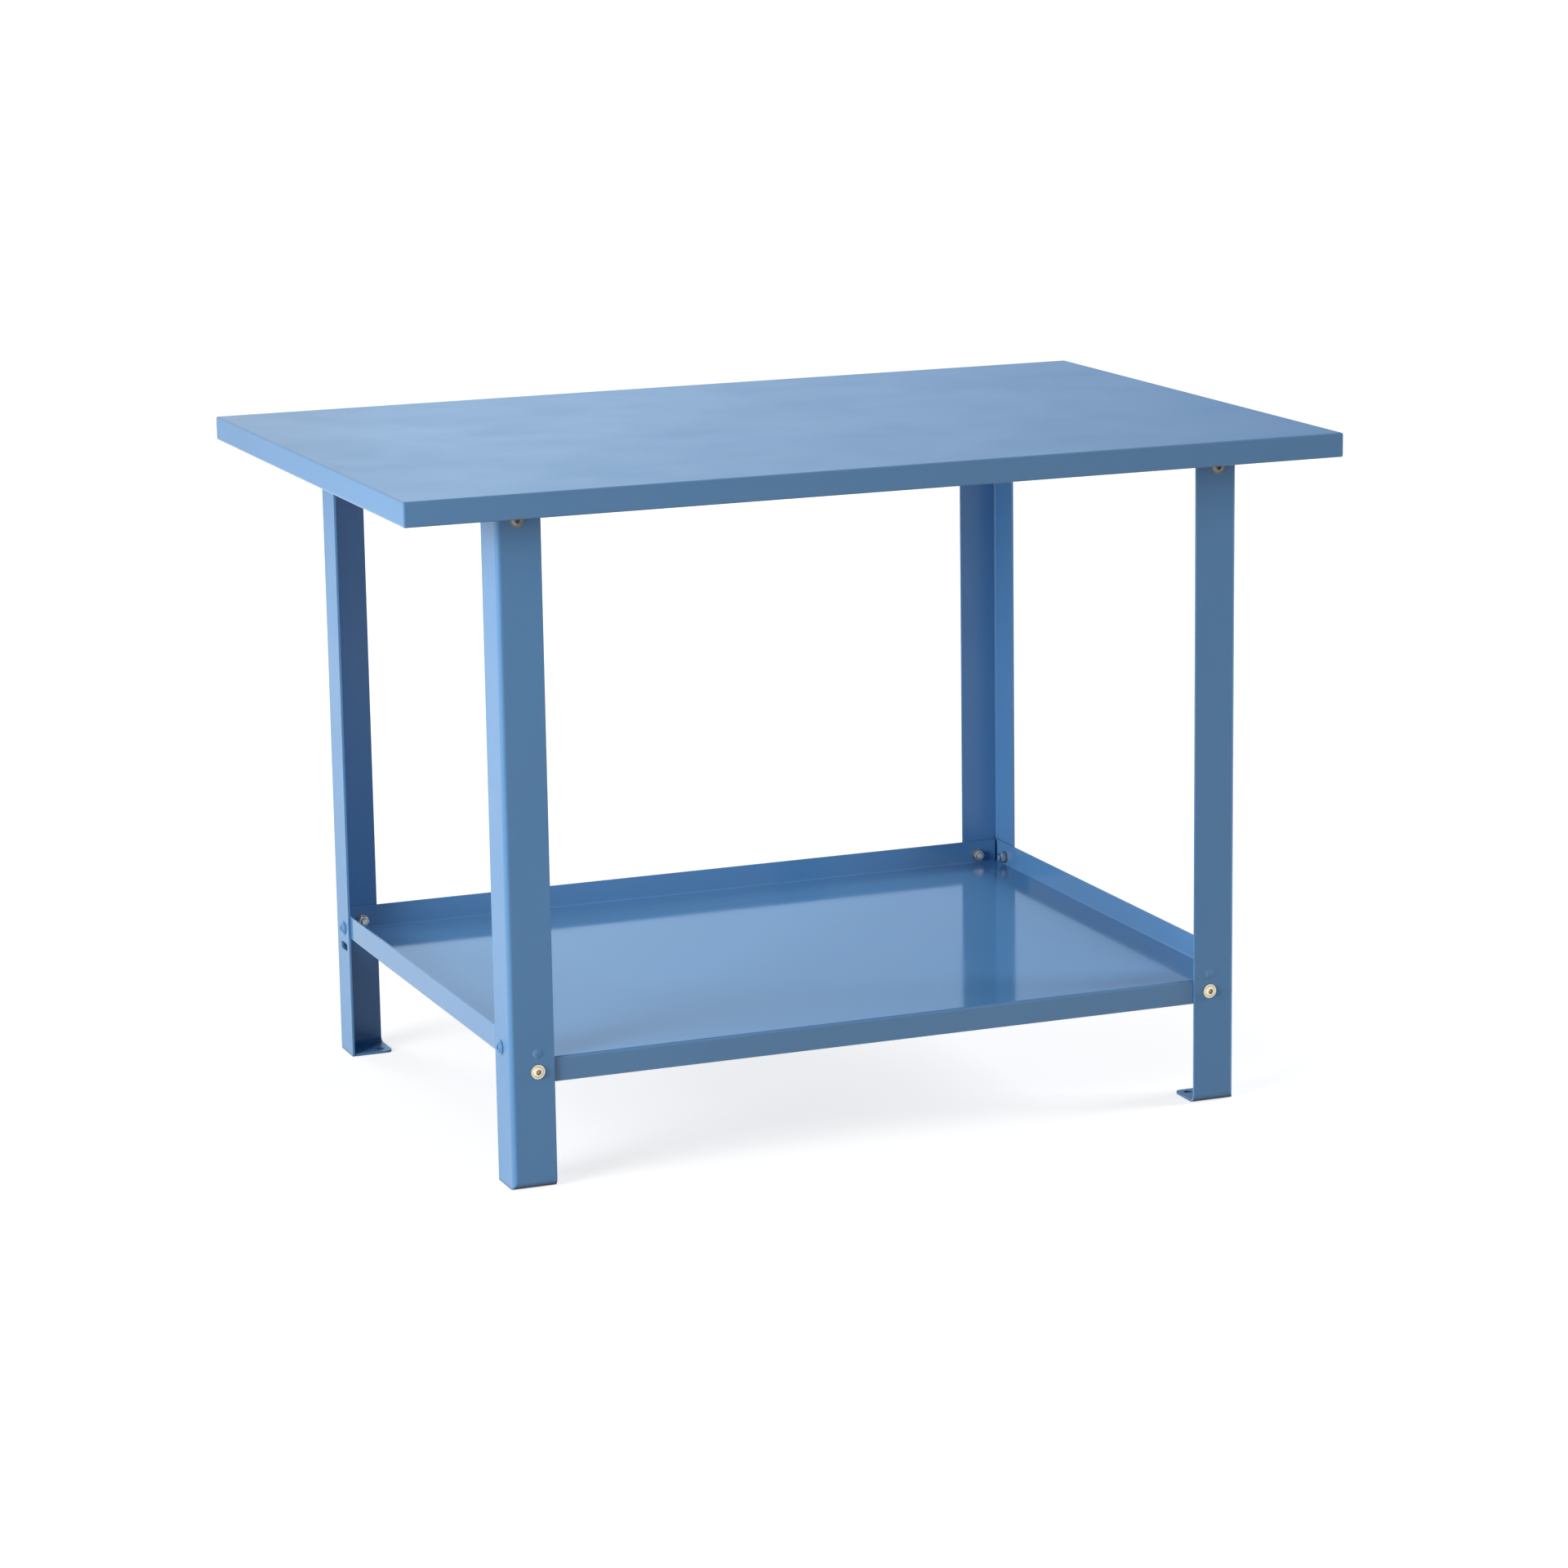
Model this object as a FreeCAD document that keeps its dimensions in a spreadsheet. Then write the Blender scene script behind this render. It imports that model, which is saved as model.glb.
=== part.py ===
import FreeCAD, Part
import math
import os
import re
import Sketcher

# Assembly table: a folded steel worktop on four folded angle legs, with a steel tray shelf
# bolted between the legs.  Millimetres, +Z up, +X along the length, the front faces -Y.
# The origin is on the floor, under the middle of the worktop.

SIZES = [
    ("worktop_length", 1200, "along X, over the outside of the aprons"),
    ("worktop_depth", 800, "along Y, over the outside of the aprons"),
    ("table_height", 840, "floor to the working surface"),
    ("worktop_sheet", 2, "thickness of the worktop's steel"),
    ("apron_height", 30, "folded edge of the worktop, outside"),
    ("apron_lip", 15, "return folded inwards under the apron"),
    ("apron_edge_radius", 2.5, "outside radius of the worktop's folds and corners"),
    ("leg_inset_side", 123.5, "worktop side edge to the outside of a leg"),
    ("leg_inset_front", 44, "worktop front or rear edge to the outside of a leg"),
    ("leg_end_flange", 55, "leg flange that faces the front or the rear, along X"),
    ("leg_side_flange", 55, "leg flange that faces a side, along Y"),
    ("leg_sheet", 3, "thickness of the legs' steel"),
    ("leg_bend_radius", 6, "outside radius of the leg's upright bend"),
    ("leg_top_gap", 1, "leg top to the underside of the worktop sheet"),
    ("foot_depth", 55, "foot plate, from the leg's outside face, along Y"),
    ("foot_bend_radius", 10, "outside radius of the bend into the foot plate"),
    ("foot_side_gap", 1, "relief cut between the foot plate and the side flange"),
    ("foot_corner_radius", 8, "free corner of the foot plate"),
    ("foot_hole_diameter", 11, "hole for a floor anchor"),
    ("foot_hole_inset", 13, "floor anchor hole to the two free edges of the foot plate"),
    ("pip_diameter", 12, "pressed pip above each front shelf screw"),
    ("pip_rise", 22, "front shelf screw up to the pip"),
    ("pip_height", 1.5, "how far the pip stands out"),
    ("pip_root", 0.7, "how far the middle of the pip's dome lies inside the leg's face"),
    ("shelf_height", 158.5, "floor to the top of the shelf's sheet"),
    ("shelf_sheet", 2, "thickness of the shelf's steel"),
    ("shelf_upstand", 30, "side and rear edges, folded up, above the shelf's top"),
    ("shelf_lip", 30, "front edge, folded down, below the shelf's top"),
    ("shelf_bend_radius", 3.5, "outside radius of the shelf's folds"),
    ("shelf_corner_clearance", 1, "shelf corner notch beyond the leg's inside bend"),
    ("lip_screw_drop", 15, "shelf top down to the front screws"),
    ("upstand_screw_rise", 10.5, "shelf top up to the side and rear screws"),
    ("shelf_screw_inset", 34, "leg's side face to the front and rear shelf screws"),
    ("side_screw_inset", 34, "leg's front or rear face to the screws in its side flange"),
    ("slot_drop", 13.5, "shelf top down to the spare slot in a rear leg's side flange"),
    ("slot_length", 27, "spare slot, along Y"),
    ("slot_width", 10, "spare slot, along Z"),
    ("rail_sheet", 2.5, "thickness of the cross rails' steel"),
    ("rail_depth", 42, "cross rail between the legs"),
    ("rail_end_depth", 50, "cross rail inside the legs, where it is bolted"),
    ("rail_end_length", 46, "length of the deeper end of the rail"),
    ("rail_tab_width", 42, "end tab, bolted to the leg's end flange"),
    ("rail_tab_drop", 5, "underside of the worktop down to the tab's top edge"),
    ("rail_bend_radius", 5.5, "outside radius of the rail's end bends"),
    ("rail_flange_bend_radius", 4, "outside radius of the top flange's bend"),
    ("rail_flange_width", 40, "top flange that carries the worktop"),
    ("rail_flange_relief", 9, "top flange's end to the tab's outside face"),
    ("rail_screw_inset", 26, "leg's side face to the screws in the end tabs"),
    ("rail_screw_drop", 35, "underside of the worktop down to the lower tab screw"),
    ("rail_screw_pitch", 22, "lower to upper tab screw"),
    ("rail_side_screw_drop", 16, "underside of the worktop down to the side screw"),
    ("stud_inset", 22, "rail's outside face to the worktop's studs"),
    ("stud_pitch", 200, "between the worktop's studs along a rail"),
    ("stud_overrun", 4, "stud past its nut"),
    ("stiffener_sheet", 1.5, "thickness of the hat stiffeners' steel"),
    ("stiffener_depth", 20, "depth of a hat stiffener"),
    ("stiffener_crown", 40, "width over the hat's webs"),
    ("stiffener_base", 15, "width of each spot-welded foot of the hat"),
    ("stiffener_bend_radius", 3, "outside radius of the hat's crown"),
    ("stiffener_pitch", 190, "between the worktop's stiffeners"),
    ("stiffener_end_gap", 3, "stiffener end to the rail's top flange"),
    ("shelf_stiffener_end_gap", 60, "shelf stiffener end to the leg's inside face"),
    ("screw_diameter", 8, "M8 screws and studs"),
    ("screw_length", 16, "under the head"),
    ("screw_hole_diameter", 9, "clearance hole for an M8 screw"),
    ("screw_tip_chamfer", 0.8, "chamfer at the end of the thread"),
    ("flange_diameter", 17.5, "flange of the button head"),
    ("flange_height", 1.2, "flange of the button head"),
    ("dome_diameter", 14, "button head's dome, where it meets the flange"),
    ("head_height", 4.4, "button head, with its flange"),
    ("head_flat_diameter", 8, "flat round the socket"),
    ("head_dome_radius", 6, "radius of the button head's dome"),
    ("socket_across_flats", 5, "hexagon socket"),
    ("socket_depth", 2.6, "hexagon socket"),
    ("mouth_diameter", 7, "widened mouth of the socket"),
    ("mouth_depth", 1.4, "widened mouth of the socket"),
    ("mouth_foot_diameter", 4.8, "lower end of the mouth's cone, inside the hexagon"),
    ("nut_across_flats", 13, "hexagon nut"),
    ("nut_height", 6.5, "hexagon nut"),
    ("nut_chamfer_diameter", 12.4, "where the nut's corner chamfer meets its face"),
    ("nut_chamfer_angle", 30, "slope of the nut's corner chamfer, in degrees"),
    ("nut_chamfer_reach", 1, "how far the chamfer's cutter passes the nut's corners"),
    ("thread_clearance", 0.1, "nut bore beyond the thread, on the diameter"),
    ("washer_diameter", 16, "plain washer"),
    ("washer_bore", 8.4, "plain washer"),
    ("washer_thickness", 1.6, "plain washer"),
]
ALIASES = {alias for alias, value, note in SIZES}

SAME_POINT = 1e-6
SAME_PLACE = 1e-4

doc = FreeCAD.newDocument("assembly_table")
sheet = doc.addObject("Spreadsheet::Sheet", "Sizes")
for row, (alias, value, note) in enumerate(SIZES, start=1):
    sheet.set(f"A{row}", alias)
    sheet.set(f"B{row}", str(value))
    sheet.set(f"C{row}", note)
    sheet.setAlias(f"B{row}", alias)
doc.recompute()

# Places worked out from the sizes, as expressions in the sheet's names.
LEG_X = "(worktop_length / 2 - leg_inset_side)"
LEG_Y = "(worktop_depth / 2 - leg_inset_front)"
LEG_INSIDE_X = f"({LEG_X} - leg_sheet)"
LEG_INSIDE_Y = f"({LEG_Y} - leg_sheet)"
UNDERSIDE = "(table_height - worktop_sheet)"
APRON_BOTTOM = "(table_height - apron_height)"
SHELF_BOTTOM = "(shelf_height - shelf_sheet)"
LIP_SCREW_Z = "(shelf_height - lip_screw_drop)"
UPSTAND_SCREW_Z = "(shelf_height + upstand_screw_rise)"
PIP_Z = "(shelf_height - lip_screw_drop + pip_rise)"
SLOT_Z = "(shelf_height - slot_drop)"
RAIL_LOW_SCREW_Z = f"({UNDERSIDE} - rail_screw_drop)"
RAIL_HIGH_SCREW_Z = f"({RAIL_LOW_SCREW_Z} + rail_screw_pitch)"
RAIL_SIDE_SCREW_Z = f"({UNDERSIDE} - rail_side_screw_drop)"
SHELF_SCREW_X = f"({LEG_X} - shelf_screw_inset)"
RAIL_SCREW_X = f"({LEG_X} - rail_screw_inset)"
SIDE_SCREW_Y = f"({LEG_Y} - side_screw_inset)"
STUD_X = f"({LEG_INSIDE_X} - stud_inset)"


# ---------------------------------------------------------------- helpers

def cells(text):
    """Turn the sheet's names inside an expression into references to its cells."""
    def cell(word):
        name = word.group(0)
        return f"Sizes.{name}" if name in ALIASES else name
    return re.sub(r"[a-z_]+", cell, text)


def number(text):
    """The value that an expression has now."""
    return float(sheet.evalExpression(cells(text)))


def bind(thing, name, text):
    thing.setExpression(name, cells(text))


def place(thing, x="0", y="0", z="0", turn=None):
    """Put a piece at three expressions, turned by an (axis, degrees) pair if one is given."""
    if turn:
        axis, degrees = turn
        thing.Placement = FreeCAD.Placement(FreeCAD.Vector(), FreeCAD.Rotation(axis, degrees))
    for name, text in (("x", x), ("y", y), ("z", z)):
        bind(thing, f"Placement.Base.{name}", text)


def new_body(label, **where):
    body = doc.addObject("PartDesign::Body", label)
    body.Label = label
    place(body, **where)
    return body


def new_sketch(body, plane, offset="0"):
    """A sketch on one of the body's origin planes, moved along that plane's normal."""
    sketch = body.newObject("Sketcher::SketchObject", f"{body.Name}_sketch")
    support = next(item for item in body.Origin.OriginFeatures if item.Role == plane)
    sketch.AttachmentSupport = [(support, "")]
    sketch.MapMode = "FlatFace"
    bind(sketch, "AttachmentOffset.Base.z", offset)
    return sketch


# A sketch numbers a curve's start, end and centre 1, 2 and 3.  Its own X and Y axes are its
# curves -1 and -2, and point 1 of curve -1 is its origin.
def hold_point(sketch, geometry, point, x, y):
    """Hold a point of the sketch at two expressions, measured from the sketch's origin."""
    for kind, axis, text in (("DistanceX", -2, x), ("DistanceY", -1, y)):
        if text == "0":
            sketch.addConstraint(Sketcher.Constraint("PointOnObject", geometry, point, axis))
            continue
        where = Sketcher.Constraint(kind, -1, 1, geometry, point, number(text))
        bind(sketch, f"Constraints[{sketch.addConstraint(where)}]", text)


def arc_between(start, end, radius):
    """An arc from start to end; a positive radius bulges to the right of that way."""
    chord = end - start
    rise = math.sqrt(radius * radius - chord.Length ** 2 / 4)
    left = FreeCAD.Vector(-chord.y, chord.x, 0).normalize()
    side = 1 if radius > 0 else -1
    centre = (start + end) / 2 + left * rise * side
    middle = centre - left * abs(radius) * side
    return Part.Arc(start, middle, end)


def outline(sketch, corners, arcs=None):
    """A closed outline through the corners; arcs maps a corner's index to the radius of
    the arc that leaves it, and the other corners are joined by straight lines."""
    arcs = arcs or {}
    points = [FreeCAD.Vector(number(x), number(y), 0) for x, y in corners]
    ends = []
    for index, start in enumerate(points):
        end = points[(index + 1) % len(points)]
        if index in arcs:
            side, radius = arcs[index]
            curve = arc_between(start, end, side * number(radius))
            geometry = sketch.addGeometry(curve, False)
            first = sketch.getPoint(geometry, 1)
            forwards = first.distanceToPoint(start) < SAME_POINT
            ends.append((geometry, 1, 2) if forwards else (geometry, 2, 1))
            size = sketch.addConstraint(Sketcher.Constraint("Radius", geometry, number(radius)))
            bind(sketch, f"Constraints[{size}]", radius)
        else:
            geometry = sketch.addGeometry(Part.LineSegment(start, end), False)
            ends.append((geometry, 1, 2))
    for index, (geometry, first, last) in enumerate(ends):
        following, start, _ = ends[(index + 1) % len(ends)]
        sketch.addConstraint(Sketcher.Constraint("Coincident", geometry, last, following, start))
        hold_point(sketch, geometry, first, *corners[index])


def rectangle(sketch, x_low, x_high, y_low, y_high):
    outline(sketch, [(x_low, y_low), (x_high, y_low), (x_high, y_high), (x_low, y_high)])


def slot(sketch, x, y, length, width):
    """A long hole with round ends, centred on x and y; each end is two quarter circles."""
    radius = f"({width} / 2)"
    left, right = f"({x} - {length} / 2)", f"({x} + {length} / 2)"
    low, high = f"({y} - {radius})", f"({y} + {radius})"
    outline(sketch, [
        (f"{left} + {radius}", low), (f"{right} - {radius}", low), (right, y),
        (f"{right} - {radius}", high), (f"{left} + {radius}", high), (left, y),
    ], arcs={1: (1, radius), 2: (1, radius), 4: (1, radius), 5: (1, radius)})


def circle(sketch, x, y, diameter):
    centre = FreeCAD.Vector(number(x), number(y), 0)
    ring = Part.Circle(centre, FreeCAD.Vector(0, 0, 1), number(diameter) / 2)
    geometry = sketch.addGeometry(ring, False)
    hold_point(sketch, geometry, 3, x, y)
    across = sketch.addConstraint(Sketcher.Constraint("Diameter", geometry, number(diameter)))
    bind(sketch, f"Constraints[{across}]", diameter)


def hexagon(sketch, across_flats):
    corner = f"{across_flats} / sqrt(3)"
    short = f"{across_flats} / sqrt(12)"
    half = f"{across_flats} / 2"
    outline(sketch, [
        (corner, "0"), (short, half), (f"-{short}", half),
        (f"-{corner}", "0"), (f"-{short}", f"-{half}"), (short, f"-{half}"),
    ])


def finish_feature(body, feature):
    body.Tip = feature
    doc.recompute()
    return feature


def pad(body, sketch, length, both_ways=False, reverse=False):
    feature = body.newObject("PartDesign::Pad", f"{body.Name}_pad")
    feature.Profile = sketch
    bind(feature, "Length", length)
    feature.Midplane = both_ways
    feature.Reversed = reverse
    return finish_feature(body, feature)


def pocket(body, sketch, length=None, both_ways=False, reverse=False):
    """Cut the sketch out of the body, right through it where no length is given."""
    volume = body.Tip.Shape.Volume
    feature = body.newObject("PartDesign::Pocket", f"{body.Name}_pocket")
    feature.Profile = sketch
    if length is None:
        feature.Type = "ThroughAll"
    else:
        bind(feature, "Length", length)
    feature.Midplane = both_ways
    feature.Reversed = reverse
    finish_feature(body, feature)
    if feature.Shape.Volume >= volume:
        raise RuntimeError(f"{feature.Name} cuts nothing")
    return feature


def edges_at(shape, **where):
    """Names of the edges whose every vertex has the given coordinates, such as x=0, z=5."""
    names = []
    for index, edge in enumerate(shape.Edges, start=1):
        near = [abs(getattr(vertex, axis.upper()) - value) < SAME_PLACE
                for vertex in edge.Vertexes for axis, value in where.items()]
        if all(near):
            names.append(f"Edge{index}")
    return names


def fillet(body, radius, *places):
    """Round the edges found at each place, given as a dictionary of coordinates."""
    base = body.Tip
    names = []
    for where in places:
        found = edges_at(base.Shape, **where)
        if not found:
            raise RuntimeError(f"{body.Label}: no edge at {where}")
        names.extend(name for name in found if name not in names)
    feature = body.newObject("PartDesign::Fillet", f"{body.Name}_fillet")
    feature.Base = (base, names)
    bind(feature, "Radius", radius)
    return finish_feature(body, feature)


def mirrored(source, label, normal):
    """The source's mirror image in the table's middle plane with this normal."""
    image = doc.addObject("Part::Mirroring", label)
    image.Label = label
    image.Source = source
    image.Normal = normal
    return image


def together(label, pieces):
    group = doc.addObject("Part::Compound", label)
    group.Label = label
    group.Links = pieces
    return group


ACROSS = FreeCAD.Vector(1, 0, 0)
FORE_AND_AFT = FreeCAD.Vector(0, 1, 0)


def group_of(label, masters, normals):
    """One node of separate, identical pieces: the masters and their mirror images."""
    group = together(f"{label}_half", masters)
    for index, normal in enumerate(normals):
        image = mirrored(group, f"{label}_image", normal)
        last = index == len(normals) - 1
        group = together(label if last else f"{label}_pair", [group, image])
    group.Label = label
    return group


# ---------------------------------------------------------------- worktop

def make_worktop():
    """A shallow pan, open below: top sheet, four aprons and their returned lips."""
    body = new_body("worktop")
    half_x, half_y = "worktop_length / 2", "worktop_depth / 2"
    block = new_sketch(body, "XY_Plane", APRON_BOTTOM)
    rectangle(block, f"-{half_x}", half_x, f"-{half_y}", half_y)
    pad(body, block, "apron_height")
    x, y = number(half_x), number(half_y)
    uprights = [dict(x=sx * x, y=sy * y) for sx in (-1, 1) for sy in (-1, 1)]
    levels = [dict(z=number("table_height")), dict(z=number(APRON_BOTTOM))]
    fillet(body, "apron_edge_radius", *uprights, *levels)

    inside_x, inside_y = f"({half_x} - worktop_sheet)", f"({half_y} - worktop_sheet)"
    hollow = new_sketch(body, "XY_Plane", f"{APRON_BOTTOM} + worktop_sheet")
    rectangle(hollow, f"-{inside_x}", inside_x, f"-{inside_y}", inside_y)
    pocket(body, hollow, "apron_height - 2 * worktop_sheet", reverse=True)

    mouth_x, mouth_y = f"({inside_x} - apron_lip)", f"({inside_y} - apron_lip)"
    mouth = new_sketch(body, "XY_Plane", APRON_BOTTOM)
    rectangle(mouth, f"-{mouth_x}", mouth_x, f"-{mouth_y}", mouth_y)
    pocket(body, mouth, "worktop_sheet", reverse=True)
    return body


def make_stiffener(label, top, half_length, y="0"):
    """A hat channel along X, its two feet against the sheet above at height top."""
    body = new_body(label, y=y, z=top)
    web, inner = "stiffener_crown / 2", "(stiffener_crown / 2 - stiffener_sheet)"
    foot = "(stiffener_crown / 2 + stiffener_base)"
    sheet_z, crown_z = "-stiffener_sheet", "-stiffener_depth"
    crown_inside = "(stiffener_sheet - stiffener_depth)"
    section = new_sketch(body, "YZ_Plane")
    outline(section, [
        (f"-{foot}", "0"), (f"-{foot}", sheet_z), (f"-{web}", sheet_z), (f"-{web}", crown_z),
        (web, crown_z), (web, sheet_z), (foot, sheet_z), (foot, "0"),
        (inner, "0"), (inner, crown_inside), (f"-{inner}", crown_inside), (f"-{inner}", "0"),
    ])
    pad(body, section, f"2 * {half_length}", both_ways=True)
    y_web, z_crown = number(web), number(crown_z)
    fillet(body, "stiffener_bend_radius", dict(y=-y_web, z=z_crown), dict(y=y_web, z=z_crown))
    return body


# ---------------------------------------------------------------- legs

def make_leg(label, is_rear):
    """A left leg, folded from one blank with its foot plate.  The sketches have the outside
    corner at the origin, the end flange along X and the side flange along Y.  A front leg
    has the pip over its shelf screw; a rear leg has the spare slot and is mirrored."""
    body = new_body(label, x=f"-{LEG_X}", y=f"-{LEG_Y}")
    section = new_sketch(body, "XY_Plane")
    outline(section, [
        ("0", "0"), ("leg_end_flange", "0"), ("leg_end_flange", "leg_sheet"),
        ("leg_sheet", "leg_sheet"), ("leg_sheet", "leg_side_flange"), ("0", "leg_side_flange"),
    ])
    pad(body, section, f"{UNDERSIDE} - leg_top_gap")
    inner = number("leg_sheet")
    fillet(body, "leg_bend_radius", dict(x=0, y=0))
    fillet(body, "leg_bend_radius - leg_sheet", dict(x=inner, y=inner))

    rounding = new_sketch(body, "YZ_Plane")
    outline(rounding, [("0", "0"), ("foot_bend_radius", "0"), ("0", "foot_bend_radius")],
            arcs={1: (-1, "foot_bend_radius")})
    pocket(body, rounding, reverse=True)

    foot = new_sketch(body, "YZ_Plane", "leg_sheet + foot_side_gap")
    outline(foot, [
        ("foot_bend_radius", "0"), ("foot_depth", "0"), ("foot_depth", "leg_sheet"),
        ("foot_bend_radius", "leg_sheet"), ("leg_sheet", "foot_bend_radius"),
        ("0", "foot_bend_radius"),
    ], arcs={3: (-1, "foot_bend_radius - leg_sheet"), 5: (1, "foot_bend_radius")})
    pad(body, foot, "leg_end_flange - leg_sheet - foot_side_gap")
    fillet(body, "foot_corner_radius",
           dict(x=number("leg_end_flange"), y=number("foot_depth")))

    anchor = new_sketch(body, "XY_Plane")
    circle(anchor, "leg_end_flange - foot_hole_inset", "foot_depth - foot_hole_inset",
           "foot_hole_diameter")
    pocket(body, anchor, "leg_sheet", reverse=True)

    end_flange = new_sketch(body, "XZ_Plane")
    shelf_screw_z = UPSTAND_SCREW_Z if is_rear else LIP_SCREW_Z
    circle(end_flange, "shelf_screw_inset", shelf_screw_z, "screw_hole_diameter")
    for height in (RAIL_LOW_SCREW_Z, RAIL_HIGH_SCREW_Z):
        circle(end_flange, "rail_screw_inset", height, "screw_hole_diameter")
    pocket(body, end_flange, "leg_sheet")

    side_flange = new_sketch(body, "YZ_Plane")
    for height in (UPSTAND_SCREW_Z, RAIL_SIDE_SCREW_Z):
        circle(side_flange, "side_screw_inset", height, "screw_hole_diameter")
    if is_rear:
        slot(side_flange, "side_screw_inset", SLOT_Z, "slot_length", "slot_width")
    pocket(body, side_flange, "leg_sheet", reverse=True)

    if not is_rear:
        dome = body.newObject("PartDesign::AdditiveEllipsoid", f"{body.Name}_pip")
        support = next(item for item in body.Origin.OriginFeatures if item.Role == "XY_Plane")
        dome.AttachmentSupport = [(support, "")]
        dome.MapMode = "FlatFace"
        bind(dome, "AttachmentOffset.Base.x", "shelf_screw_inset")
        bind(dome, "AttachmentOffset.Base.y", "pip_root")
        bind(dome, "AttachmentOffset.Base.z", PIP_Z)
        out = "(pip_height + pip_root)"
        across = f"pip_diameter / 2 / sqrt(1 - (pip_root / {out}) ^ 2)"
        bind(dome, "Radius1", across)
        bind(dome, "Radius2", across)
        bind(dome, "Radius3", out)
        finish_feature(body, dome)
        return body
    image = mirrored(body, label, FORE_AND_AFT)
    body.Label = f"{label}_blank"
    image.Label = label
    return image


# ---------------------------------------------------------------- cross rails

def make_cross_rail():
    """The left cross rail: web outside, top flange under the worktop, an end tab in each
    leg.  Its sketches have x=0 on the web's outside face, so x grows towards the middle."""
    body = new_body("cross_rail_left", x=f"-{LEG_INSIDE_X}", z=UNDERSIDE)
    web_end = f"({LEG_INSIDE_Y} - rail_sheet)"
    plan = new_sketch(body, "XY_Plane", "-rail_end_depth")
    outline(plan, [
        ("0", f"-{LEG_INSIDE_Y}"), ("rail_tab_width", f"-{LEG_INSIDE_Y}"),
        ("rail_tab_width", f"-{web_end}"), ("rail_sheet", f"-{web_end}"),
        ("rail_sheet", web_end), ("rail_tab_width", web_end),
        ("rail_tab_width", LEG_INSIDE_Y), ("0", LEG_INSIDE_Y),
    ])
    pad(body, plan, "rail_end_depth - rail_tab_drop")
    outside, inside = number(LEG_INSIDE_Y), number(web_end)
    fillet(body, "rail_bend_radius", dict(x=0, y=-outside), dict(x=0, y=outside))
    wall = number("rail_sheet")
    fillet(body, "rail_bend_radius - rail_sheet",
           dict(x=wall, y=-inside), dict(x=wall, y=inside))

    raised_end = f"({LEG_INSIDE_Y} - rail_end_length)"
    raised = new_sketch(body, "YZ_Plane")
    rectangle(raised, f"-{raised_end}", raised_end, "-rail_end_depth", "-rail_depth")
    pocket(body, raised, "rail_sheet", reverse=True)

    flange_end = f"({LEG_INSIDE_Y} - rail_flange_relief)"
    web_top = new_sketch(body, "XY_Plane", "-rail_tab_drop")
    rectangle(web_top, "0", "rail_sheet", f"-{flange_end}", flange_end)
    pad(body, web_top, "rail_tab_drop")
    flange = new_sketch(body, "XY_Plane", "-rail_sheet")
    rectangle(flange, "0", "rail_flange_width", f"-{flange_end}", flange_end)
    pad(body, flange, "rail_sheet")
    fillet(body, "rail_flange_bend_radius", dict(x=0, z=0))

    tabs = new_sketch(body, "XZ_Plane")
    for height in ("-rail_screw_drop", "(rail_screw_pitch - rail_screw_drop)"):
        circle(tabs, "rail_screw_inset - leg_sheet", height, "screw_hole_diameter")
    pocket(body, tabs, f"2 * {LEG_INSIDE_Y}", both_ways=True)

    web = new_sketch(body, "YZ_Plane")
    for y in (f"-{SIDE_SCREW_Y}", SIDE_SCREW_Y):
        circle(web, y, "-rail_side_screw_drop", "screw_hole_diameter")
    pocket(body, web, "rail_sheet", reverse=True)

    top = new_sketch(body, "XY_Plane", "-rail_sheet")
    for y in ("-stud_pitch", "0", "stud_pitch"):
        circle(top, "stud_inset", y, "screw_hole_diameter")
    pocket(body, top, "rail_sheet", reverse=True)
    return body


# ---------------------------------------------------------------- shelf

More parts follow.
